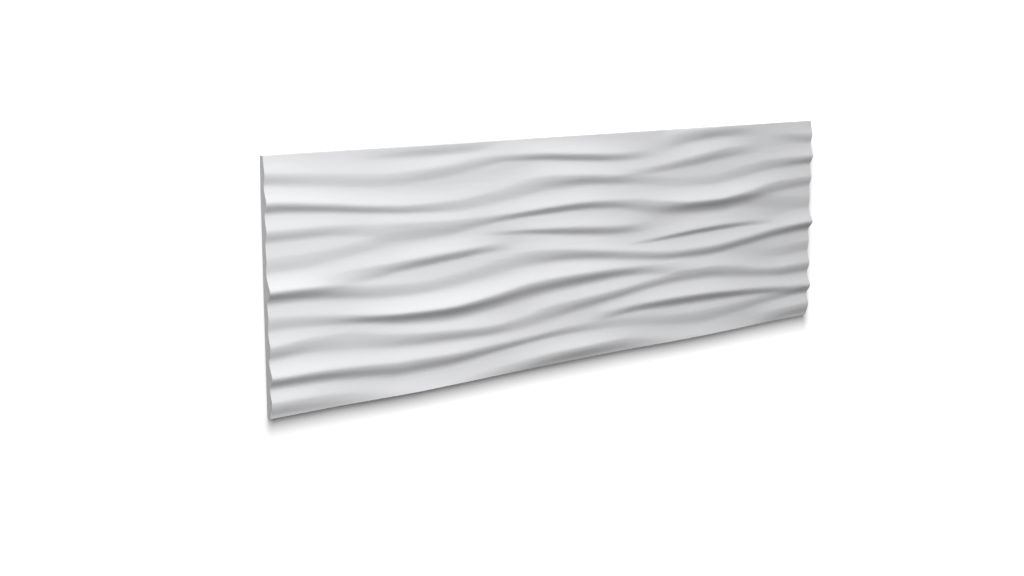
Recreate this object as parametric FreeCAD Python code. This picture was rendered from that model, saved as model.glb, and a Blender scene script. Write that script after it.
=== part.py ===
"""Wave relief wall panel: one moulded sheet with a dune-like face and a flat back, in millimetres."""
import FreeCAD
import Part
import os

# Panel, lying on its back: X along the length, Y towards the top edge, Z out of the face
PANEL_LENGTH = 1135.0
PANEL_HEIGHT = 380.0
BASE_THICKNESS = 11.0
RELIEF_DEPTH = 16.0

# Section of a wave: a hollow climb above the crest, and a fall whose steepest place moves up with the drop
CLIMB_RUN = 26.0
CLIMB_POWER = 1.8
FALL_EASE = 1.2
STEEPEST_PLACE = 0.7
STEEPEST_SHIFT = 0.022
ROUNDING = 2.0

# Size of the sheet that the wave lines below are drawn on
DRAWN_LENGTH = 1135.0
DRAWN_HEIGHT = 380.0
DRAWN_DEPTH = 15.5

# Sections taken through the relief
COLUMNS = 96
ROWS = 190

# A wave is a line of stations from left to right. Each station gives the distance from the left end,
# the height of the middle of the fall above the bottom edge, the drop and the width of the steep part.
# The relief repeats from one panel to the next, so a wave that begins left of zero enters from the right end.
TOP_LEFT_WAVE = [
    (120, 372, 0, 16), (200, 370.5, 2.4, 17), (280, 371, 5, 19), (340, 372, 4.4, 17), (420, 376, 0, 13),
]
TOP_RIGHT_WAVE = [
    (730, 347, 0, 25), (790, 362, 3.8, 23), (860, 367, 6.4, 21), (910, 368.5, 5.6, 20),
    (1000, 367, 0, 14),
]
FIRST_WAVE = [
    (-130, 356, 0, 12), (-60, 351, 2.6, 15), (0, 345.5, 4.2, 18), (100, 338, 2.7, 18), (200, 331, 3, 19),
    (300, 337, 4, 19), (360, 345.5, 3.2, 17), (410, 351, 3.2, 12), (480, 349.5, 5.6, 12),
    (570, 343, 7, 14), (660, 338.5, 4.4, 14), (760, 341, 0, 13),
]
SECOND_WAVE = [
    (0, 304.5, 7.4, 17), (100, 297, 6.6, 14), (160, 290.5, 6, 13), (240, 284, 5.5, 14),
    (310, 282, 4.4, 18), (400, 290, 3, 22), (450, 298.5, 3.4, 26), (500, 305, 5.4, 24),
    (560, 305, 7.2, 19), (640, 300.5, 5.6, 16), (700, 296.5, 2.8, 15), (780, 288.5, 1.4, 15),
    (860, 284, 2, 17), (940, 292.5, 2.8, 20), (1020, 302, 4, 20),
]
BRANCH_WAVE = [
    (610, 310, 0, 13), (690, 310.5, 2.4, 13), (750, 314, 4.2, 14), (850, 324, 6.4, 20),
    (910, 330.5, 5, 20), (1010, 334, 0, 13),
]
THIRD_WAVE = [
    (0, 263.5, 5, 18), (90, 263.5, 4, 16), (150, 259.5, 3.4, 18), (200, 250, 4.5, 29),
    (300, 247.5, 5.4, 25), (360, 253, 4.2, 16), (420, 257, 5.4, 11), (500, 260.5, 7.6, 13),
    (560, 262, 8, 14), (640, 258.5, 5.8, 15), (700, 250, 5.2, 23), (750, 242, 8.2, 26),
    (810, 239.5, 13, 22), (880, 239, 14.7, 23), (950, 245, 12, 25), (1010, 254, 8, 25),
    (1060, 259.5, 6, 22),
]
SHELF_WAVE = [
    (-225, 243, 0, 18), (-180, 238, 1.8, 21), (-130, 234, 2.9, 23), (-70, 226.5, 2.4, 24),
    (0, 221.5, 2.3, 22), (80, 225, 2.4, 20), (150, 233, 2.2, 19), (220, 239, 0, 16),
]
SLIVER_WAVE = [
    (350, 234.5, 0, 5), (400, 232.5, 1.6, 5), (450, 230, 3.4, 7), (500, 226, 5.7, 11),
    (570, 219.5, 7.4, 16), (650, 213.5, 5.5, 16), (750, 212, 0, 13),
]
SPUR_WAVE = [
    (40, 188, 0, 28), (110, 189, 4, 24), (160, 191.5, 5.2, 23), (210, 197, 6, 18), (260, 201, 7.6, 17),
    (320, 205, 7, 15), (380, 208, 3.7, 13), (440, 208, 0, 11),
]
FOURTH_WAVE = [
    (0, 177, 11.6, 19), (50, 176, 10.8, 20), (110, 170.5, 6.8, 21), (170, 163.5, 4.3, 21),
    (250, 159.5, 3.2, 20), (340, 169, 2.6, 18), (400, 178, 2.6, 21), (460, 184, 4.4, 24),
    (520, 182, 7.2, 22), (600, 174, 8.6, 20), (700, 163, 7, 17), (780, 156, 7, 16), (850, 154.5, 8, 19),
    (950, 162.5, 7.8, 18), (1040, 172, 8.8, 19),
]
REED_WAVE = [
    (655, 188, 0, 5), (700, 188, 2.2, 6), (740, 189, 4, 7), (800, 192.5, 6, 10), (850, 195, 7, 11),
    (910, 196.5, 6, 11), (960, 196.5, 4, 9), (1000, 195.5, 2.8, 9), (1050, 195, 0, 7),
]
FIFTH_WAVE = [
    (-175, 132, 0, 17), (-80, 133.5, 2.1, 20), (0, 136.5, 3.1, 20), (60, 134, 3.8, 18), (110, 130, 5, 16),
    (160, 125, 8.4, 15), (220, 118.5, 12.8, 19), (300, 115, 15.5, 24), (380, 121, 12.8, 26),
    (460, 131, 11, 27), (560, 136.5, 11.8, 24), (640, 138, 9.2, 20), (700, 136.5, 6.2, 17),
    (770, 131, 4, 18), (860, 128, 0, 16),
]
SIXTH_WAVE = [
    (0, 94, 6.5, 22), (60, 98, 4.6, 22), (130, 93.5, 2.6, 26), (200, 83.5, 4.6, 24), (280, 77.5, 7.4, 22),
    (380, 74.5, 6.6, 18), (440, 77, 4.6, 21), (500, 85.5, 5.7, 28), (560, 93, 6.8, 22),
    (650, 101, 7.2, 19), (730, 109.5, 5.2, 17), (800, 114.5, 6, 21), (860, 115, 6.8, 22),
    (930, 108, 5.8, 23), (1000, 98.5, 5.2, 18), (1070, 93.5, 6.8, 21),
]
SEVENTH_WAVE = [
    (-555, 67, 0, 13), (-500, 69, 4.2, 14), (-435, 72.5, 7.2, 15), (-340, 71.5, 10.8, 19),
    (-285, 70.5, 11.4, 19), (-200, 67.5, 9.2, 16), (-120, 63, 7.8, 16), (-75, 59, 7.8, 16),
    (-30, 53.5, 9.2, 20), (0, 51.5, 10.4, 19), (70, 50, 9.8, 20), (150, 45, 8.5, 22), (220, 38.5, 9, 25),
    (300, 38.5, 8.8, 22), (370, 43, 6.5, 17), (450, 48.5, 4.8, 12), (540, 52.5, 4.2, 14),
    (620, 51.5, 2.4, 17), (700, 46.5, 2, 16), (780, 38, 2.8, 20), (850, 33.5, 4, 24),
    (920, 37.5, 3.4, 20), (1000, 44.5, 3.2, 16), (1070, 47.5, 3.4, 13), (1130, 48, 0, 13),
]
FOOT_LEFT_WAVE = [
    (-175, 3, 0, 24), (-85, 9, 5.2, 25), (-30, 11.5, 6.6, 24), (20, 11, 6.8, 24), (100, 7, 4.2, 24),
    (160, -1, 3, 24), (240, -11, 2.4, 24), (320, -14, 0, 24),
]
FOOT_RIGHT_WAVE = [
    (260, -14, 0, 26), (340, -8, 2.4, 26), (420, 0, 4.6, 26), (500, 7.5, 8.4, 25), (560, 9, 10, 25),
    (650, 9.5, 6.4, 24), (710, 3, 3.8, 25), (790, -9, 3, 25), (880, -13, 2.6, 25), (960, -14, 1.4, 25),
    (1020, -14, 0, 25),
]

# Waves that run the whole length and close on themselves from panel to panel
ENDLESS_WAVES = [SECOND_WAVE, THIRD_WAVE, FOURTH_WAVE, SIXTH_WAVE]

# Waves that rise and die away along the panel
FADING_WAVES = [
    TOP_LEFT_WAVE, TOP_RIGHT_WAVE, FIRST_WAVE, BRANCH_WAVE, SHELF_WAVE, SLIVER_WAVE, SPUR_WAVE, REED_WAVE,
    FIFTH_WAVE, SEVENTH_WAVE, FOOT_LEFT_WAVE, FOOT_RIGHT_WAVE,
]


def repeated(wave):
    """An endless wave, with the last stations of the panel before it and the first of the panel after it."""
    before = [(x - DRAWN_LENGTH, y, drop, width) for x, y, drop, width in wave[-3:]]
    after = [(x + DRAWN_LENGTH, y, drop, width) for x, y, drop, width in wave[:3]]
    return before + wave + after


def shifted(wave, distance):
    """The same wave moved along the row of panels."""
    return [(x + distance, y, drop, width) for x, y, drop, width in wave]


def station_slope(wave, index, item):
    """Slope of one value at a station, level where the value turns or the wave ends."""
    if index == 0 or index == len(wave) - 1:
        return 0.0
    here = wave[index]
    left = (here[item] - wave[index - 1][item]) / (here[0] - wave[index - 1][0])
    right = (wave[index + 1][item] - here[item]) / (wave[index + 1][0] - here[0])
    if left * right <= 0:
        return 0.0
    return 2 * left * right / (left + right)


def between_stations(wave, x, item):
    """One value of a wave at x, carried smoothly from station to station."""
    index = max(i for i in range(len(wave) - 1) if wave[i][0] <= x)
    start = wave[index]
    end = wave[index + 1]
    span = end[0] - start[0]
    t = (x - start[0]) / span
    value = start[item] * (1 + 2 * t) * (1 - t) ** 2 + end[item] * t ** 2 * (3 - 2 * t)
    value += span * station_slope(wave, index, item) * t * (1 - t) ** 2
    value += span * station_slope(wave, index + 1, item) * t ** 2 * (t - 1)
    return value


def crossings(waves, x):
    """The crest, drop and width of every wave that a section at x cuts."""
    found = []
    for wave in waves:
        if wave[0][0] <= x <= wave[-1][0]:
            middle = between_stations(wave, x, 1)
            drop = between_stations(wave, x, 2)
            width = FALL_EASE * between_stations(wave, x, 3)
            found.append((middle + width / 2, drop, width))
    return found


def rise(cuts, y):
    """Height of the relief above the hollows at y, from a hollow climb and a round fall at each wave."""
    total = 0.0
    for crest, drop, width in cuts:
        climb = (y - crest) / CLIMB_RUN
        fall = (crest - y) / width
        steepest = STEEPEST_PLACE - STEEPEST_SHIFT * drop
        if 0 <= climb < 1:
            total += drop * (1 - climb) ** CLIMB_POWER
        elif 0 < fall < steepest:
            total += drop * (1 - fall ** 2 / steepest)
        elif steepest <= fall < 1:
            total += drop * (1 - fall) ** 2 / (1 - steepest)
    return total


def rounded_rise(cuts, y):
    """The same height with every crest and hollow eased over the rounding distance on each side."""
    return (rise(cuts, y - ROUNDING) + 2 * rise(cuts, y) + rise(cuts, y + ROUNDING)) / 4


def relief_surface():
    """The face of the panel, from level sections at equal steps along its length."""
    waves = [repeated(wave) for wave in ENDLESS_WAVES]
    for wave in FADING_WAVES:
        waves += [wave, shifted(wave, DRAWN_LENGTH)]
    grid = []
    for column in range(COLUMNS + 1):
        cuts = crossings(waves, DRAWN_LENGTH * column / COLUMNS)
        section = []
        for row in range(ROWS + 1):
            height = rounded_rise(cuts, DRAWN_HEIGHT * row / ROWS) * RELIEF_DEPTH / DRAWN_DEPTH
            section.append(BASE_THICKNESS + height)
        grid.append(section)
    surface = Part.BSplineSurface()
    step_x = PANEL_LENGTH / COLUMNS
    step_y = PANEL_HEIGHT / ROWS
    surface.interpolate(grid, -PANEL_LENGTH / 2, step_x, -PANEL_HEIGHT / 2, step_y)
    return surface.toShape()


def dropped(point):
    """The point on the back under a point of the face."""
    return FreeCAD.Vector(point.x, point.y, 0)


def panel():
    """The panel: the relief face, four cut edges square to the back, and the flat back."""
    face = relief_surface()
    faces = [face]
    back_edges = []
    for edge in face.OuterWire.OrderedEdges:
        start = edge.Vertexes[0].Point
        end = edge.Vertexes[-1].Point
        down = Part.makeLine(start, dropped(start))
        along = Part.makeLine(dropped(start), dropped(end))
        up = Part.makeLine(dropped(end), end)
        faces.append(Part.Face(Part.Wire([edge, up, along, down])))
        back_edges.append(along)
    faces.append(Part.Face(Part.Wire(Part.__sortEdges__(back_edges))))
    shell = Part.makeShell(faces)
    shell.sewShape()
    solid = Part.makeSolid(shell)
    if solid.Volume < 0:
        solid.reverse()
    return solid


os.makedirs("parts", exist_ok=True)
panel().exportStep("parts/wave_panel.step")
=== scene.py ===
import bpy
import math
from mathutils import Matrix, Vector


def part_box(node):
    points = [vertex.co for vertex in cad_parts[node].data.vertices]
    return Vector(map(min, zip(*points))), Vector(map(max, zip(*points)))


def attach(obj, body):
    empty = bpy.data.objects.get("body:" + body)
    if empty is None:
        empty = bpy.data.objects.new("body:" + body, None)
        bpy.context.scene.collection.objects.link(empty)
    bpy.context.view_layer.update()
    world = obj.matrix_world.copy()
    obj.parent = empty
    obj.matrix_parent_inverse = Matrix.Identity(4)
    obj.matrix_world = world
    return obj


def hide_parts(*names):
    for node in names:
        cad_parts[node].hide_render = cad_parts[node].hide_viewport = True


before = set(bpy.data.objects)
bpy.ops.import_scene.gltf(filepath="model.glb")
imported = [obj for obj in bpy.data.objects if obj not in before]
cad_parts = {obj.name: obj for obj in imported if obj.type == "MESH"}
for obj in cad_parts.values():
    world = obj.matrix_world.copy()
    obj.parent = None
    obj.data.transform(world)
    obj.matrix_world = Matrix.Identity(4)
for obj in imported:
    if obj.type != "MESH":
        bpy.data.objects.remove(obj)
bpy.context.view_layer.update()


# Wall panel
# One moulding of rigid polyurethane foam, cast in an open mould with a dune relief on its face.
# The factory sprays the face and the edges with a matt white primer and leaves the flat back as it was cast.
def add_node(tree, kind, settings, links=()):
    """Adds a node, sets its options and inputs, and joins inputs to other nodes' outputs."""
    node = tree.nodes.new(kind)
    for name, value in settings.items():
        if isinstance(name, str) and hasattr(node, name):
            setattr(node, name, value)
        else:
            node.inputs[name].default_value = value
    for name, source in links:
        tree.links.new(source, node.inputs[name])
    return node


def linear(hex_colour):
    """An sRGB hex colour as linear red, green, blue and alpha."""
    channels = []
    for start in (1, 3, 5):
        value = int(hex_colour[start:start + 2], 16) / 255
        if value <= 0.04045:
            channels.append(value / 12.92)
        else:
            channels.append(((value + 0.055) / 1.055) ** 2.4)
    return (*channels, 1.0)


panel_low, panel_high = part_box("wave_panel")
panel_length = panel_high[0] - panel_low[0]
panel_height = panel_high[1] - panel_low[1]
columns = 96
rows = 190
above_relief = 0.05
edge_margin = 0.0001
inner_length = panel_length - 2 * edge_margin
inner_height = panel_height - 2 * edge_margin
bpy.ops.object.select_all(action="DESELECT")
bpy.ops.mesh.primitive_grid_add(x_subdivisions=columns, y_subdivisions=rows, size=1.0,
                                location=(0, 0, above_relief))
panel = bpy.context.object
panel.name = "relief_panel"
panel.data.name = "relief_panel"
panel.scale = (inner_length, inner_height, 1.0)
bpy.ops.object.transform_apply(location=True, rotation=True, scale=True)

# The sheet is drawn down on the relief and smoothed into a finer one
drape = panel.modifiers.new("drape", "SHRINKWRAP")
drape.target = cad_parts["wave_panel"]
drape.wrap_method = "PROJECT"
drape.use_project_z = True
drape.use_negative_direction = True
drape.use_positive_direction = False
bpy.ops.object.modifier_apply(modifier="drape")
fine = panel.modifiers.new("fine", "SUBSURF")
fine.levels = 1
fine.render_levels = 1
fine.boundary_smooth = "PRESERVE_CORNERS"
bpy.ops.object.modifier_apply(modifier="fine")

# The lowest wave leaves the panel at two places of the bottom edge, where its crest makes the edge thicker.
# Each place has its middle and half length along the panel, and the rise at the edge.
leaving_crests = ((-0.3, 0.17, 0.006), (0.28, 0.2, 0.0035))
climb_run = 0.034
climb_power = 1.8
for vertex in panel.data.vertices:
    climb = 1 - (vertex.co.y - panel_low[1]) / climb_run
    for middle, half_length, rise in leaving_crests:
        along = 1 - abs(vertex.co.x - middle) / half_length
        if climb > 0 and along > 0:
            eased = along ** 2 * (3 - 2 * along)
            vertex.co.z += rise * eased * climb ** climb_power

# The border is brought out to the cut size, taken down to the back and closed
bpy.ops.object.mode_set(mode="EDIT")
bpy.ops.mesh.select_all(action="SELECT")
grow = (panel_length / inner_length, panel_height / inner_height, 1.0)
bpy.ops.transform.resize(value=grow, center_override=(0, 0, 0))
bpy.ops.mesh.select_all(action="DESELECT")
bpy.ops.mesh.select_mode(type="EDGE")
bpy.ops.mesh.select_non_manifold()
bpy.ops.mesh.extrude_region_move()
bpy.ops.transform.resize(value=(1, 1, 0), center_override=(0, 0, 0))
bpy.ops.mesh.edge_face_add()
bpy.ops.mesh.select_all(action="SELECT")
bpy.ops.mesh.normals_make_consistent(inside=False)
bpy.ops.object.mode_set(mode="OBJECT")

# The arris that the mould leaves along the edges
arris_width = 0.0003
corner_angle = math.radians(38)
crease_angle = math.radians(20)
arris = panel.modifiers.new("arris", "BEVEL")
arris.width = arris_width
arris.segments = 2
arris.limit_method = "ANGLE"
arris.angle_limit = corner_angle
bpy.ops.object.modifier_apply(modifier="arris")
bpy.ops.object.shade_smooth_by_angle(angle=crease_angle)

# White primer on polyurethane: matt, with a faint orange peel from the spray gun that blurs its sheen
cloud_size = 0.11
peel_size = 0.0024
primer = bpy.data.materials.new("sprayed_white_primer")
primer.use_nodes = True
tree = primer.node_tree
tree.nodes.clear()
place = add_node(tree, "ShaderNodeTexCoord", {})
cloud = add_node(tree, "ShaderNodeTexNoise", {"Scale": 1 / cloud_size, "Detail": 3.0},
                 [("Vector", place.outputs["Object"])])
tint = add_node(tree, "ShaderNodeMix",
                {"data_type": "RGBA", 6: linear("#D8D8DA"), 7: linear("#DCDDDE")},
                [(0, cloud.outputs["Fac"])])
peel = add_node(tree, "ShaderNodeTexNoise", {"Scale": 1 / peel_size, "Detail": 2.0},
                [("Vector", place.outputs["Object"])])
matt = add_node(tree, "ShaderNodeMapRange", {"To Min": 0.74, "To Max": 0.86},
                [("Value", peel.outputs["Fac"])])
bump = add_node(tree, "ShaderNodeBump", {"Strength": 0.12, "Distance": 0.0002},
                [("Height", peel.outputs["Fac"])])
shader = add_node(tree, "ShaderNodeBsdfPrincipled", {"IOR": 1.45},
                  [("Base Color", tint.outputs[2]), ("Roughness", matt.outputs[0]),
                   ("Normal", bump.outputs[0])])
add_node(tree, "ShaderNodeOutputMaterial", {}, [("Surface", shader.outputs[0])])

# Bare polyurethane on the back: cream, dry and chalky, with the small pores of the cast skin
stain_size = 0.18
pore_size = 0.0016
foam = bpy.data.materials.new("cast_polyurethane")
foam.use_nodes = True
tree = foam.node_tree
tree.nodes.clear()
place = add_node(tree, "ShaderNodeTexCoord", {})
stain = add_node(tree, "ShaderNodeTexNoise", {"Scale": 1 / stain_size, "Detail": 4.0},
                 [("Vector", place.outputs["Object"])])
tint = add_node(tree, "ShaderNodeMix",
                {"data_type": "RGBA", 6: linear("#DDD6C4"), 7: linear("#E6E1D3")},
                [(0, stain.outputs["Fac"])])
pores = add_node(tree, "ShaderNodeTexVoronoi", {"Scale": 1 / pore_size},
                 [("Vector", place.outputs["Object"])])
bump = add_node(tree, "ShaderNodeBump", {"Strength": 0.2, "Distance": 0.0002},
                [("Height", pores.outputs["Distance"])])
shader = add_node(tree, "ShaderNodeBsdfPrincipled", {"IOR": 1.45, "Roughness": 0.85},
                  [("Base Color", tint.outputs[2]), ("Normal", bump.outputs[0])])
add_node(tree, "ShaderNodeOutputMaterial", {}, [("Surface", shader.outputs[0])])

panel.data.materials.append(primer)
panel.data.materials.append(foam)
facing_back = -0.9
for face in panel.data.polygons:
    if face.normal.z < facing_back:
        face.material_index = 1
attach(panel, "root")
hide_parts("wave_panel")


# Floor
# A pale grey sheet of paper that glows white to the camera. The glow is weak in a zone under the panel,
# which reaches past its bottom edge and right end, away from the lamp. The panel's cast shadow shows there,
# and the zone itself is a painted shadow that widens and deepens it. The lamp weakens to the right, so the
# weak glow grows that way.
floor_size = 14.0
floor_gap = 0.0002
# Where the painted shadow lies: how far it stays inside the left end and top edge, how far it reaches past
# the right end and bottom edge, and how fast it fades to white.
painted_shadow_inside_left = 0.009
painted_shadow_inside_top = 0.06
painted_shadow_past_right = 0.006
painted_shadow_past_bottom = 0.008
painted_shadow_fade = 0.046
steeper_at_ends = 1.6
glow_left = 0.12
glow_right = 0.17
painted_shadow_middle = ((painted_shadow_inside_left + painted_shadow_past_right) / 2, -(painted_shadow_inside_top + painted_shadow_past_bottom) / 2, 0)
painted_shadow_half = ((panel_length - painted_shadow_inside_left + painted_shadow_past_right) / 2,
             (panel_height - painted_shadow_inside_top + painted_shadow_past_bottom) / 2, 0)
bpy.ops.object.select_all(action="DESELECT")
bpy.ops.mesh.primitive_plane_add(size=floor_size, location=(0, 0, -floor_gap))
floor = bpy.context.object
floor.name = "floor"
bpy.ops.object.transform_apply(location=True, rotation=True, scale=True)
paper = bpy.data.materials.new("pale_paper")
paper.use_nodes = True
tree = paper.node_tree
tree.nodes.clear()
ray = add_node(tree, "ShaderNodeLightPath", {})
seen = add_node(tree, "ShaderNodeMath", {"operation": "MAXIMUM"},
                [(0, ray.outputs["Is Camera Ray"]), (1, ray.outputs["Is Glossy Ray"])])
shown = add_node(tree, "ShaderNodeMath", {"operation": "MAXIMUM"},
                 [(0, seen.outputs[0]), (1, ray.outputs["Is Transmission Ray"])])
place = add_node(tree, "ShaderNodeTexCoord", {})
centred = add_node(tree, "ShaderNodeVectorMath", {"operation": "SUBTRACT", 1: painted_shadow_middle},
                   [(0, place.outputs["Object"])])
spread = add_node(tree, "ShaderNodeVectorMath", {"operation": "ABSOLUTE"}, [(0, centred.outputs[0])])
beyond = add_node(tree, "ShaderNodeVectorMath", {"operation": "SUBTRACT", 1: painted_shadow_half},
                  [(0, spread.outputs[0])])
outside = add_node(tree, "ShaderNodeVectorMath", {"operation": "MAXIMUM", 1: (0, 0, 0)},
                   [(0, beyond.outputs[0])])
stretched = add_node(tree, "ShaderNodeVectorMath",
                     {"operation": "MULTIPLY", 1: (steeper_at_ends, 1, 0)},
                     [(0, outside.outputs[0])])
away = add_node(tree, "ShaderNodeVectorMath", {"operation": "LENGTH"}, [(0, stretched.outputs[0])])
along = add_node(tree, "ShaderNodeSeparateXYZ", {}, [(0, place.outputs["Object"])])
near = add_node(tree, "ShaderNodeMapRange",
                {"From Min": -panel_length / 2, "From Max": panel_length / 2,
                 "To Min": glow_left, "To Max": glow_right},
                [("Value", along.outputs["X"])])
# The glow rises from its weak level inside the painted shadow to full white away from it.
white = add_node(tree, "ShaderNodeMapRange",
                 {"From Min": 0.0, "From Max": painted_shadow_fade, "To Max": 1.0},
                 [("Value", away.outputs["Value"]), ("To Min", near.outputs[0])])
glow = add_node(tree, "ShaderNodeEmission", {"Color": linear("#FFFFFF")},
                [("Strength", white.outputs[0])])
# The paper's grey shows to the camera only where the glow is weak. There it is painted shade around the cast
# shadow.
lit = add_node(tree, "ShaderNodeBsdfDiffuse", {"Color": linear("#BCBCBC")})
both = add_node(tree, "ShaderNodeAddShader", {}, [(0, lit.outputs[0]), (1, glow.outputs[0])])
plain = add_node(tree, "ShaderNodeBsdfDiffuse", {"Color": linear("#DADADA")})
choice = add_node(tree, "ShaderNodeMixShader", {},
                  [(0, shown.outputs[0]), (1, plain.outputs[0]), (2, both.outputs[0])])
add_node(tree, "ShaderNodeOutputMaterial", {}, [("Surface", choice.outputs[0])])
floor.data.materials.append(paper)


# Studio light
# One tall soft box beyond the top edge and a little to the left, with a weak even light from the room.
room_strength = 0.06
soft_box = bpy.data.lights.new("soft_box", "AREA")
soft_box.shape = "RECTANGLE"
soft_box.size = 1.0
soft_box.size_y = 2.8
soft_box.energy = 142.0
box_object = bpy.data.objects.new("soft_box", soft_box)
bpy.context.scene.collection.objects.link(box_object)
box_object.location = (-0.88, 2.12, 2.385)
box_aim = Vector((-1.33, -0.06, 0.0))
box_object.rotation_euler = (box_object.location - box_aim).to_track_quat("Z", "Y").to_euler()
room = bpy.data.worlds.new("room")
room.use_nodes = True
tree = room.node_tree
tree.nodes.clear()
ray = add_node(tree, "ShaderNodeLightPath", {})
seen = add_node(tree, "ShaderNodeMath", {"operation": "MAXIMUM"},
                [(0, ray.outputs["Is Camera Ray"]), (1, ray.outputs["Is Glossy Ray"])])
shown = add_node(tree, "ShaderNodeMath", {"operation": "MAXIMUM"},
                 [(0, seen.outputs[0]), (1, ray.outputs["Is Transmission Ray"])])
level = add_node(tree, "ShaderNodeMapRange", {"To Min": room_strength, "To Max": 1.0},
                 [("Value", shown.outputs[0])])
sky = add_node(tree, "ShaderNodeBackground", {"Color": linear("#FFFFFF")},
               [("Strength", level.outputs[0])])
add_node(tree, "ShaderNodeOutputWorld", {}, [("Surface", sky.outputs[0])])
bpy.context.scene.world = room


# Camera
# It looks down on the lying panel from the left, so that the panel fills its place in the photograph.
lens = bpy.data.cameras.new("camera")
lens.sensor_width = 36.0
lens.lens = 43.608
lens.shift_y = -0.08
lens.clip_end = 100.0
camera = bpy.data.objects.new("camera", lens)
bpy.context.scene.collection.objects.link(camera)
camera.location = (-1.2876, 0.3598, 1.6135)
camera.rotation_euler = (math.radians(-7.891), math.radians(-35.62), math.radians(-0.144))
bpy.context.scene.camera = camera
bpy.context.scene.view_settings.view_transform = "Standard"
